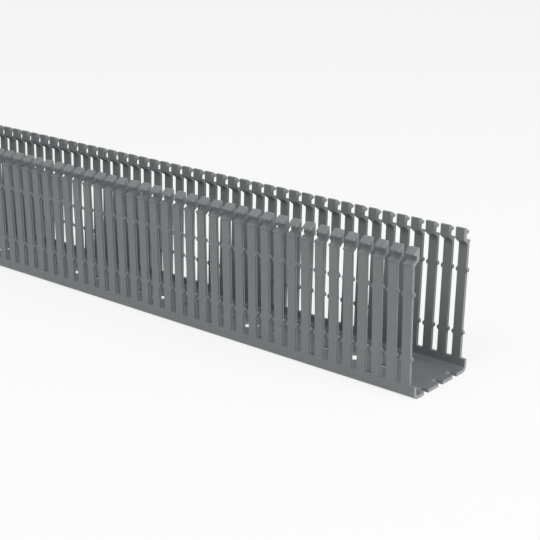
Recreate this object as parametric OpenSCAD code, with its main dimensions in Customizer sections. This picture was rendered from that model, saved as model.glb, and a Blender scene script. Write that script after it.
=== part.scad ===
/* [Length] */
// Number of finger pitches in the piece
pitches = 80; // [8:1:80]
// Skirt left beyond the first finger at the +X end
end_land = 4.3; // [0.5:0.1:4.9]

/* [Section] */
// Width across the walls at the underside
base_w = 67.5; // [60:0.5:120]
// Overall height
height = 108.5; // [98:0.5:150]
// How far each wall leans outward at full height
flare = 2.6; // [0:0.1:6]
// Thickness of the walls
wall_t = 2.5; // [1.5:0.1:3]
// Thickness of the floor
floor_t = 2.6; // [1.5:0.1:3]
// Radius outside the bottom corners
corner_r = 5; // [1:0.5:5]
// Fillet between floor and wall
fillet_r = 2.5; // [2:0.1:4]

/* [Head] */
// Height of each finger's head above its shoulder
head_h = 10; // [9:0.1:14]
// How far the bead along the shoulder stands out from the wall
bead_reach = 1; // [0.2:0.1:1.2]
// Height of the bead
bead_h = 1.8; // [1:0.1:3]
// How much the shoulder climbs from the bead to the neck
shoulder_rise = 1.6; // [0.5:0.1:2]
// How far the neck is set in from the wall's outer face
neck_inset = 4.6; // [3:0.1:7]
// Thickness of the neck
neck_t = 3.4; // [1.5:0.1:4]
// Height of the neck between the shoulder and the lip
neck_h = 3.3; // [2:0.1:5]
// How far the lip sticks out over the neck
lip_reach = 3.2; // [1:0.1:4]
// Climb of the lip's underside, which hooks the cover
lip_rise = 0.9; // [0.3:0.1:1.2]
// Thickness of the lip's edge
lip_t = 1.2; // [0.4:0.1:1.5]
// Width of the flat crown on top of the head
crown_w = 2; // [1:0.1:3]

/* [Slots] */
// Distance from finger to finger
pitch = 12.5; // [10:0.5:20]
// Width of a slot
slot_w = 5.4; // [5:0.1:7]
// Height of the solid skirt below the slots
skirt_h = 9.8; // [6:0.1:20]
// Height of the lower pair of wire-retaining nubs
low_nub_z = 29.2; // [24:0.1:40]
// Height of the upper pair of wire-retaining nubs
high_nub_z = 76.4; // [45:0.1:80]
// How far a nub stands into the slot
nub_reach = 1.4; // [0.5:0.1:1.6]
// Length of a nub along the finger
nub_len = 3.8; // [3.2:0.1:6]

/* [Floor holes] */
// Length of floor after which the hole pattern repeats
pattern_len = 100; // [80:5:200]
// Distance from one mounting slot to the next across the floor
gauge = 18.5; // [12:0.5:20]
// Width of a mounting slot
mount_w = 5.4; // [4:0.1:6]
// Length of a mounting slot
mount_len = 14; // [8:0.5:16]
// Diameter of the large round holes on the centreline
entry_d = 14; // [8:0.5:16]

/* [Hidden] */
length = pitches * pitch;
shoulder_z = height - head_h;
lip_z = shoulder_z + shoulder_rise + neck_h + lip_rise;
neck_back = neck_inset + neck_t;
first_slot_x = length / 2 - end_land + slot_w / 2;
last_slot_x = first_slot_x - pitches * pitch;
nub_r = (nub_len * nub_len / 4 + nub_reach * nub_reach) / (2 * nub_reach);
margin = 1;
$fn = 48;

// Distance from the centre plane to a point set in from the leaning outer face
function wall_y(inset, z) = base_w / 2 + flare * z / height - inset;

// One wall with its hooked head, and half of the floor
module half_outline() {
    rim = [
        [0, 0],
        [0, shoulder_z - bead_h],
        [-bead_reach, shoulder_z - bead_h / 3],
        [-bead_reach, shoulder_z],
        [neck_inset, shoulder_z + shoulder_rise],
        [neck_inset, lip_z - lip_rise],
        [neck_inset - lip_reach, lip_z],
        [neck_inset - lip_reach, lip_z + lip_t],
        [neck_back - crown_w, height],
        [neck_back, height],
        [neck_back, shoulder_z + shoulder_rise],
        [wall_t, shoulder_z - wall_t],
        [wall_t, floor_t],
    ];
    polygon(concat(
        [[0, 0]],
        [for (p = rim) [wall_y(p[0], p[1]), p[1]]],
        [[0, floor_t]]
    ));
}

// What lies between a corner at the origin and a circle of radius r in it, and a margin beyond
module corner_web(r) {
    difference() {
        translate([-margin, -margin]) square(r + margin);
        translate([r, r]) circle(r);
    }
}

module section() {
    for (side = [0, 1]) mirror([side, 0]) {
        difference() {
            half_outline();
            translate([wall_y(0, corner_r), 0]) mirror([1, 0]) corner_web(corner_r);
        }
        translate([wall_y(wall_t, floor_t + fillet_r), floor_t])
            mirror([1, 0]) corner_web(fillet_r);
    }
}

// Side view of one slot, waisted by two pairs of nubs
module slot_outline() {
    difference() {
        translate([-slot_w / 2, skirt_h]) square([slot_w, height]);
        for (side = [-1, 1], z = [low_nub_z, high_nub_z])
            translate([side * (slot_w / 2 - nub_reach + nub_r), z]) circle(nub_r);
    }
}

// Every slot, each cut straight through both walls, and the open run-out at each end
module slots() {
    for (i = [0:pitches])
        translate([first_slot_x - i * pitch, base_w, 0])
            rotate([90, 0, 0]) linear_extrude(2 * base_w) slot_outline();
    translate([first_slot_x, -base_w, skirt_h]) cube([slot_w, 2 * base_w, height]);
    translate([last_slot_x - slot_w, -base_w, skirt_h]) cube([slot_w, 2 * base_w, height]);
}

module mounting_slot() {
    translate([0, 0, -margin]) linear_extrude(floor_t + 2 * margin) {
        square([mount_len - mount_w, mount_w], center = true);
        for (side = [-1, 1]) translate([side * (mount_len - mount_w) / 2, 0]) circle(d = mount_w);
    }
}

// One repeat: three slots abreast, three more, then one large round hole
module hole_pattern() {
    for (row = [0, 1], y = [-gauge, 0, gauge])
        translate([-row * pattern_len / 2, y, 0]) mounting_slot();
    translate([-3 * pattern_len / 4, 0, -margin]) cylinder(d = entry_d, h = floor_t + 2 * margin);
}

module slotted_duct() {
    color("#6f7779")
    difference() {
        rotate([90, 0, 90]) translate([0, 0, -length / 2]) linear_extrude(length) section();
        slots();
        for (x = [length / 2:-pattern_len:-length / 2]) translate([x, 0, 0]) hole_pattern();
    }
}

slotted_duct();
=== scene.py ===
"""Slotted wiring duct: a length of grey PVC trunking with fingered walls, lying on a pale floor."""
import math

import bpy
import numpy as np
from mathutils import Matrix, Vector


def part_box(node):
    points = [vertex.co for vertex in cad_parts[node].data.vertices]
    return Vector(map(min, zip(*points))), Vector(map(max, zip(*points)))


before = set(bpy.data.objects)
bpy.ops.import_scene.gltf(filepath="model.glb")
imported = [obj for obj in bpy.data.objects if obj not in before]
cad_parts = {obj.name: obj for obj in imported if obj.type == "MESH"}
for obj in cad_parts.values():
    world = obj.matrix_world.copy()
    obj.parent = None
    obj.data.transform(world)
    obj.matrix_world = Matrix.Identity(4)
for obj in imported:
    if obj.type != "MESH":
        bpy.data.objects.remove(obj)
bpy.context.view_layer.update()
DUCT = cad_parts["slotted_duct"]
LOW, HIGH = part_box("slotted_duct")
END_X = HIGH.x

# Finger layout, in metres, measured from the cut end
PITCH = 0.0125
SLOT_W = 0.0054
END_LAND = 0.0043
BASE_W = 0.0675
WALL_LEAN = 0.0026 / 0.1085
FIRST_SLOT_X = END_X - END_LAND + SLOT_W / 2 - PITCH

# Linear colours of the plastic, and of the painted edge highlight and painted top light
SKIN_DARK, SKIN_LIGHT = (0.142, 0.158, 0.162), (0.166, 0.184, 0.188)
SKIN_BAND, SKIN_FLECK = (0.180, 0.198, 0.202), (0.205, 0.222, 0.226)
SHEAR_DARK, SHEAR_LIGHT = (0.190, 0.208, 0.212), (0.235, 0.252, 0.256)
TORN_DARK, TORN_LIGHT = (0.250, 0.268, 0.272), (0.330, 0.345, 0.348)
SAW_DARK, SAW_LIGHT = (0.290, 0.308, 0.312), (0.370, 0.385, 0.388)
# The first pale grey is painted on as an edge highlight and is also the colour of the real scratches; the
# second is painted on up-facing faces as top light
EDGE_HIGHLIGHT_AND_SCRATCH, PAINTED_TOP_LIGHT = (0.330, 0.350, 0.355), (0.300, 0.305, 0.300)

EDGE_RADIUS = 0.0004
END_FACE_DEPTH = 0.0002
LINE_SQUEEZE = 0.003

# Floor, surround and camera
FLOOR_HALF = 6.0
FLOOR_WHITE = (0.86, 0.86, 0.86, 1)
PURE_WHITE = (1, 1, 1, 1)
FLOOR_VEIL = 0.8
SOFT_LIGHT = 0.45
SENSOR_W = 36.0


# ---------------------------------------------------------------- node helpers

def new_material(name):
    """A material with an empty tree but for its Principled shader and output."""
    material = bpy.data.materials.new(name)
    material.use_nodes = True
    tree = material.node_tree
    tree.nodes.clear()
    output = tree.nodes.new("ShaderNodeOutputMaterial")
    shader = tree.nodes.new("ShaderNodeBsdfPrincipled")
    tree.links.new(shader.outputs["BSDF"], output.inputs["Surface"])
    return material, tree, shader


def node(tree, kind, inputs=None, **settings):
    """Adds one node, sets its properties, then fills its inputs with numbers or links."""
    made = tree.nodes.new(kind)
    for key, value in settings.items():
        setattr(made, key, value)
    for key, value in (inputs or {}).items():
        if isinstance(value, bpy.types.NodeSocket):
            tree.links.new(value, made.inputs[key])
        else:
            made.inputs[key].default_value = value
    return made


def group(name, inputs, outputs):
    """An empty node group with named sockets: (tree, its input node, its output node)."""
    tree = bpy.data.node_groups.new(name, "ShaderNodeTree")
    for label, kind, value in inputs:
        socket = tree.interface.new_socket(label, in_out="INPUT", socket_type=kind)
        if value is not None:
            socket.default_value = value
    for label, kind in outputs:
        tree.interface.new_socket(label, in_out="OUTPUT", socket_type=kind)
    return tree, tree.nodes.new("NodeGroupInput"), tree.nodes.new("NodeGroupOutput")


def use_group(tree, shared, inputs=None):
    """Places a shared group in a tree."""
    return node(tree, "ShaderNodeGroup", inputs, node_tree=shared)


FLOAT, COLOR, VECTOR = "NodeSocketFloat", "NodeSocketColor", "NodeSocketVector"


def blend_colors(tree, factor, low, high):
    """Mixes two colours by factor; each may be a linear colour or a link."""
    made = node(tree, "ShaderNodeMix", {0: factor}, data_type="RGBA")
    for socket, value in ((6, low), (7, high)):
        if isinstance(value, bpy.types.NodeSocket):
            tree.links.new(value, made.inputs[socket])
        else:
            made.inputs[socket].default_value = (*value, 1)
    return made.outputs[2]


def math_node(tree, operation, a, b=None, c=None, clamp=False):
    """One scalar operation; returns its output."""
    inputs = {i: v for i, v in enumerate((a, b, c)) if v is not None}
    return node(tree, "ShaderNodeMath", inputs, operation=operation, use_clamp=clamp).outputs[0]


def ramp(tree, value, low, high, to_low=0.0, to_high=1.0):
    """Maps low..high to to_low..to_high, clamped."""
    inputs = {"Value": value, "From Min": low, "From Max": high, "To Min": to_low, "To Max": to_high}
    return node(tree, "ShaderNodeMapRange", inputs).outputs[0]


def scaled(tree, vector, x, y, z):
    """The vector with each axis multiplied by its own number."""
    made = node(tree, "ShaderNodeVectorMath", {0: vector, 1: (x, y, z)}, operation="MULTIPLY")
    return made.outputs[0]


def noise(tree, vector, scale, detail=2.0, roughness=0.5):
    """A plain 3-D noise value."""
    inputs = {"Vector": vector, "Scale": scale, "Detail": detail, "Roughness": roughness}
    return node(tree, "ShaderNodeTexNoise", inputs).outputs["Fac"]


def draw_lines_group():
    """Lines that the die leaves along X: noise(LINE_SQUEEZE x, y, z), in two widths."""
    tree, given, out = group("DrawLines", [("Vector", VECTOR, None), ("Fineness", FLOAT, 1500.0)],
                             [("Lines", FLOAT), ("Bands", FLOAT)])
    squeezed = scaled(tree, given.outputs["Vector"], LINE_SQUEEZE, 1.0, 1.0)
    lines = noise(tree, squeezed, given.outputs["Fineness"], detail=2.0, roughness=0.6)
    bands = noise(tree, squeezed, 160.0, detail=2.0, roughness=0.5)
    tree.links.new(lines, out.inputs["Lines"])
    tree.links.new(bands, out.inputs["Bands"])
    return tree


def mottle_group():
    """Uneven tone of bulk plastic: broad patches, and a fine speckle of filler."""
    sockets = [("Vector", VECTOR, None), ("Patch Scale", FLOAT, 26.0), ("Grain Scale", FLOAT, 1100.0)]
    tree, given, out = group("Mottle", sockets, [("Patches", FLOAT), ("Grain", FLOAT)])
    place = given.outputs["Vector"]
    patches = noise(tree, place, given.outputs["Patch Scale"], detail=4.0, roughness=0.55)
    grain = noise(tree, place, given.outputs["Grain Scale"], detail=3.0, roughness=0.7)
    tree.links.new(patches, out.inputs["Patches"])
    tree.links.new(grain, out.inputs["Grain"])
    return tree


def edge_group():
    """Softened corners: the normal averaged within a radius, and how far it leaves the flat face's."""
    tree, given, out = group("SoftEdges", [("Radius", FLOAT, EDGE_RADIUS)],
                             [("Edge", FLOAT), ("Normal", VECTOR)])
    rounded = node(tree, "ShaderNodeBevel", {"Radius": given.outputs["Radius"]}, samples=4).outputs[0]
    flat = tree.nodes.new("ShaderNodeNewGeometry").outputs["True Normal"]
    agree = node(tree, "ShaderNodeVectorMath", {0: rounded, 1: flat}, operation="DOT_PRODUCT")
    tree.links.new(ramp(tree, agree.outputs["Value"], 0.995, 0.80), out.inputs["Edge"])
    tree.links.new(rounded, out.inputs["Normal"])
    return tree


def punch_group():
    """A punched face: burnished where the tool enters, torn where it leaves, with marks along Y.

    The depth in the wall is BASE_W / 2 + WALL_LEAN z - |y|, made ragged by noise.
    """
    tree, given, out = group("PunchedFace", [("Vector", VECTOR, None)],
                             [("Torn", FLOAT), ("Marks", FLOAT)])
    across = tree.nodes.new("ShaderNodeSeparateXYZ")
    tree.links.new(given.outputs["Vector"], across.inputs[0])
    inset = math_node(tree, "MULTIPLY_ADD", across.outputs["Z"], WALL_LEAN, BASE_W / 2)
    inset = math_node(tree, "SUBTRACT", inset, math_node(tree, "ABSOLUTE", across.outputs["Y"]))
    stretched = scaled(tree, given.outputs["Vector"], 1.0, 0.15, 1.0)
    ragged = noise(tree, stretched, 420.0, detail=3.0, roughness=0.6)
    edge = math_node(tree, "MULTIPLY_ADD", math_node(tree, "SUBTRACT", ragged, 0.5), 0.0016, inset)
    tree.links.new(ramp(tree, edge, 0.0010, 0.0014), out.inputs["Torn"])
    drawn_out = scaled(tree, given.outputs["Vector"], 1.0, 0.05, 1.0)
    marks = noise(tree, drawn_out, 1800.0, detail=2.0, roughness=0.7)
    tree.links.new(marks, out.inputs["Marks"])
    return tree


def saw_group():
    """A sawn face: ridges in wide arcs, rings about the saw's axle at y = -0.16, z = -0.05."""
    tree, given, out = group("SawnFace", [("Vector", VECTOR, None)], [("Ridges", FLOAT)])
    to_axle = {0: given.outputs["Vector"], 1: (0.0, 0.16, 0.05)}
    moved = node(tree, "ShaderNodeVectorMath", to_axle, operation="ADD").outputs[0]
    flat = scaled(tree, moved, 0.0, 1.0, 1.0)
    sweep = {"Vector": flat, "Scale": 190.0, "Distortion": 1.2, "Detail": 3.0, "Detail Scale": 2.0}
    rings = node(tree, "ShaderNodeTexWave", sweep, wave_type="RINGS", rings_direction="SPHERICAL")
    tree.links.new(rings.outputs["Fac"], out.inputs["Ridges"])
    return tree


def scuff_group():
    """Sparse hair scratches: thin iso-lines of stretched, turned noise, kept only in a few patches."""
    tree, given, out = group("Scuffs", [("Vector", VECTOR, None)], [("Scratches", FLOAT)])
    stretch = {"Vector": given.outputs["Vector"], "Rotation": (0.0, 0.6, 0.1),
               "Scale": (40.0, 260.0, 260.0)}
    turned = node(tree, "ShaderNodeMapping", stretch).outputs[0]
    field = noise(tree, turned, 1.0, detail=1.0, roughness=0.4)
    off_line = math_node(tree, "ABSOLUTE", math_node(tree, "SUBTRACT", field, 0.5))
    line = ramp(tree, off_line, 0.004, 0.0)
    spread = noise(tree, given.outputs["Vector"], 55.0, detail=2.0, roughness=0.5)
    patch = ramp(tree, spread, 0.56, 0.66)
    tree.links.new(math_node(tree, "MULTIPLY", line, patch), out.inputs["Scratches"])
    return tree


def grey_pvc():
    """Rigid grey PVC: a satin extruded skin, and paler plastic in punched slots and on sawn ends."""
    material, tree, shader = new_material("grey_pvc")
    place = tree.nodes.new("ShaderNodeTexCoord").outputs["Object"]
    face = tree.nodes.new("ShaderNodeNewGeometry").outputs["True Normal"]
    turn = node(tree, "ShaderNodeSeparateXYZ", {0: face})
    spot = node(tree, "ShaderNodeSeparateXYZ", {0: place})
    mottle = use_group(tree, MOTTLE, {"Vector": place}).outputs
    drawn = use_group(tree, DRAW_LINES, {"Vector": place}).outputs
    edges = use_group(tree, SOFT_EDGES, {"Radius": EDGE_RADIUS}).outputs
    punch = use_group(tree, PUNCHED_FACE, {"Vector": place}).outputs
    saw = use_group(tree, SAWN_FACE, {"Vector": place}).outputs
    scuffs = use_group(tree, SCUFFS, {"Vector": place}).outputs

    crosswise = ramp(tree, math_node(tree, "ABSOLUTE", turn.outputs["X"]), 0.3, 0.6)
    from_middle = math_node(tree, "ABSOLUTE", spot.outputs["X"])
    at_end = math_node(tree, "GREATER_THAN", from_middle, END_X - END_FACE_DEPTH)
    sawn = math_node(tree, "MULTIPLY", crosswise, at_end)
    punched = math_node(tree, "SUBTRACT", crosswise, sawn)
    upward = ramp(tree, turn.outputs["Z"], 0.6, 0.95)

    skin = blend_colors(tree, mottle["Patches"], SKIN_DARK, SKIN_LIGHT)
    bands = ramp(tree, drawn["Bands"], 0.35, 0.75, to_high=0.35)
    skin = blend_colors(tree, bands, skin, SKIN_BAND)
    flecks = ramp(tree, mottle["Grain"], 0.62, 0.8, to_high=0.25)
    skin = blend_colors(tree, flecks, skin, SKIN_FLECK)
    # Painted top light: up-facing faces are blended, in patches, toward a paler grey, standing in for
    # light from above; the same mask also raises their roughness
    top_light_patches = ramp(tree, mottle["Patches"], 0.35, 0.7, to_high=0.22)
    top_light_paint = math_node(tree, "MULTIPLY", upward, top_light_patches)
    skin = blend_colors(tree, top_light_paint, skin, PAINTED_TOP_LIGHT)
    torn = blend_colors(tree, mottle["Grain"], TORN_DARK, TORN_LIGHT)
    sheared = blend_colors(tree, ramp(tree, punch["Marks"], 0.3, 0.7), SHEAR_DARK, SHEAR_LIGHT)
    slot_face = blend_colors(tree, punch["Torn"], sheared, torn)
    end_face = blend_colors(tree, saw["Ridges"], SAW_DARK, SAW_LIGHT)
    color = blend_colors(tree, punched, skin, slot_face)
    color = blend_colors(tree, sawn, color, end_face)
    # Painted highlight: faces within the edge radius of a corner are blended toward a pale grey, standing
    # in for the glint that edges catch
    painted_edge_highlight = math_node(tree, "MULTIPLY", edges["Edge"], 0.55)
    color = blend_colors(tree, painted_edge_highlight, color, EDGE_HIGHLIGHT_AND_SCRATCH)
    scratched = math_node(tree, "MULTIPLY", scuffs["Scratches"], 0.4)
    color = blend_colors(tree, scratched, color, EDGE_HIGHLIGHT_AND_SCRATCH)
    tree.links.new(color, shader.inputs["Base Color"])

    rough = ramp(tree, drawn["Lines"], 0.3, 0.7, to_low=0.40, to_high=0.52)
    rough = math_node(tree, "MULTIPLY_ADD", crosswise, 0.22, rough)
    rough = math_node(tree, "MULTIPLY_ADD", edges["Edge"], 0.08, rough)
    rough = math_node(tree, "MULTIPLY_ADD", top_light_paint, 0.5, rough, clamp=True)
    tree.links.new(rough, shader.inputs["Roughness"])

    lengthwise = math_node(tree, "SUBTRACT", 1.0, crosswise)
    shallow = math_node(tree, "MULTIPLY", lengthwise, 0.35)
    relief = math_node(tree, "MULTIPLY", drawn["Lines"], shallow)
    relief = math_node(tree, "MULTIPLY_ADD", punch["Marks"], punched, relief)
    relief = math_node(tree, "MULTIPLY_ADD", saw["Ridges"], sawn, relief)
    relief = math_node(tree, "MULTIPLY_ADD", mottle["Grain"], 0.15, relief)
    relief = math_node(tree, "MULTIPLY_ADD", scuffs["Scratches"], -0.6, relief)
    fine = {"Strength": 0.35, "Distance": 0.0001, "Height": relief, "Normal": edges["Normal"]}
    tree.links.new(node(tree, "ShaderNodeBump", fine).outputs[0], shader.inputs["Normal"])
    return material


# ---------------------------------------------------------------- the duct

DRAW_LINES = draw_lines_group()
MOTTLE = mottle_group()
SOFT_EDGES = edge_group()
PUNCHED_FACE = punch_group()
SAWN_FACE = saw_group()
SCUFFS = scuff_group()
PVC = grey_pvc()
DUCT.data.materials.clear()
DUCT.data.materials.append(PVC)


# ---------------------------------------------------------------- floor, light and camera

def floor_sheet():
    """The plane z = LOW.z for |x|, |y| <= FLOOR_HALF: near white to the eye, with the shadow kept."""
    side = np.array([-FLOOR_HALF, FLOOR_HALF])
    x, y = np.meshgrid(side, side)
    points = np.stack([x.ravel(), y.ravel(), np.full(4, LOW.z)], axis=1)
    mesh = bpy.data.meshes.new("floor")
    mesh.from_pydata(points.tolist(), [], [(0, 1, 3, 2)])
    made = bpy.data.objects.new("floor", mesh)
    bpy.context.scene.collection.objects.link(made)
    material, tree, shader = new_material("white_floor")
    shader.inputs["Base Color"].default_value = FLOOR_WHITE
    shader.inputs["Roughness"].default_value = 0.9
    path = tree.nodes.new("ShaderNodeLightPath").outputs
    seen = math_node(tree, "MAXIMUM", path["Is Camera Ray"], path["Is Glossy Ray"])
    veil = math_node(tree, "MULTIPLY", seen, FLOOR_VEIL)
    white = node(tree, "ShaderNodeEmission", {"Color": PURE_WHITE, "Strength": 1.0}).outputs[0]
    mix = node(tree, "ShaderNodeMixShader", {0: veil, 1: shader.outputs["BSDF"], 2: white})
    tree.links.new(mix.outputs[0], tree.nodes["Material Output"].inputs["Surface"])
    mesh.materials.append(material)
    return made


def white_surround():
    """White for the eye and in reflections, and a plain soft light for the surfaces."""
    world = bpy.data.worlds.new("surround")
    world.use_nodes = True
    tree = world.node_tree
    tree.nodes.clear()
    out = tree.nodes.new("ShaderNodeOutputWorld")
    path = tree.nodes.new("ShaderNodeLightPath").outputs
    seen = math_node(tree, "MAXIMUM", path["Is Camera Ray"], path["Is Glossy Ray"])
    seen = math_node(tree, "MAXIMUM", seen, path["Is Transmission Ray"])
    soft = node(tree, "ShaderNodeBackground", {"Color": PURE_WHITE, "Strength": SOFT_LIGHT}).outputs[0]
    white = node(tree, "ShaderNodeBackground", {"Color": PURE_WHITE, "Strength": 1.0}).outputs[0]
    mix = node(tree, "ShaderNodeMixShader", {0: seen, 1: soft, 2: white})
    tree.links.new(mix.outputs[0], out.inputs["Surface"])
    bpy.context.scene.world = world


def soft_box(name, spot, aim, width, height, power):
    """A rectangular studio lamp at spot, facing aim."""
    light = bpy.data.lights.new(name, "AREA")
    light.shape = "RECTANGLE"
    light.size, light.size_y = width, height
    light.energy = power
    made = bpy.data.objects.new(name, light)
    made.location = spot
    made.rotation_euler = (Vector(aim) - Vector(spot)).to_track_quat("-Z", "Y").to_euler()
    bpy.context.scene.collection.objects.link(made)
    return made


def duct_camera(yaw, pitch, roll, lens_mm, offset):
    """A camera that looks along +Y when yaw, pitch and roll are nil.

    It stands at offset, in metres, from the foot of the near wall at the first whole slot's centre.
    """
    forward = Vector((-math.sin(yaw) * math.cos(pitch), math.cos(yaw) * math.cos(pitch), math.sin(pitch)))
    level = Vector((math.cos(yaw), math.sin(yaw), 0))
    over = level.cross(forward)
    right = math.cos(roll) * level + math.sin(roll) * over
    up = right.cross(forward)
    lens = bpy.data.cameras.new("camera")
    lens.sensor_width = SENSOR_W
    lens.lens = lens_mm
    lens.clip_start, lens.clip_end = 0.05, 60.0
    made = bpy.data.objects.new("camera", lens)
    turn = Matrix((right, up, -forward)).transposed()
    place = Vector((FIRST_SLOT_X, -BASE_W / 2, LOW.z)) + Vector(offset)
    made.matrix_world = Matrix.Translation(place) @ turn.to_4x4()
    bpy.context.scene.collection.objects.link(made)
    bpy.context.scene.camera = made
    return made


floor_sheet()
white_surround()
soft_box("key_lamp", spot=(0.4, -1.6, 1.9), aim=(0.2, 0, 0), width=1.4, height=1.0, power=26)
soft_box("end_lamp", spot=(2.0, 0.2, 1.1), aim=(0.4, 0, 0), width=1.0, height=1.0, power=16)
duct_camera(yaw=math.radians(39.349), pitch=math.radians(-18.827), roll=math.radians(0.396),
            lens_mm=87.335333, offset=(0.4595, -0.7004, 0.3754))

bpy.context.scene.view_settings.view_transform = "Standard"

bpy.context.view_layer.update()
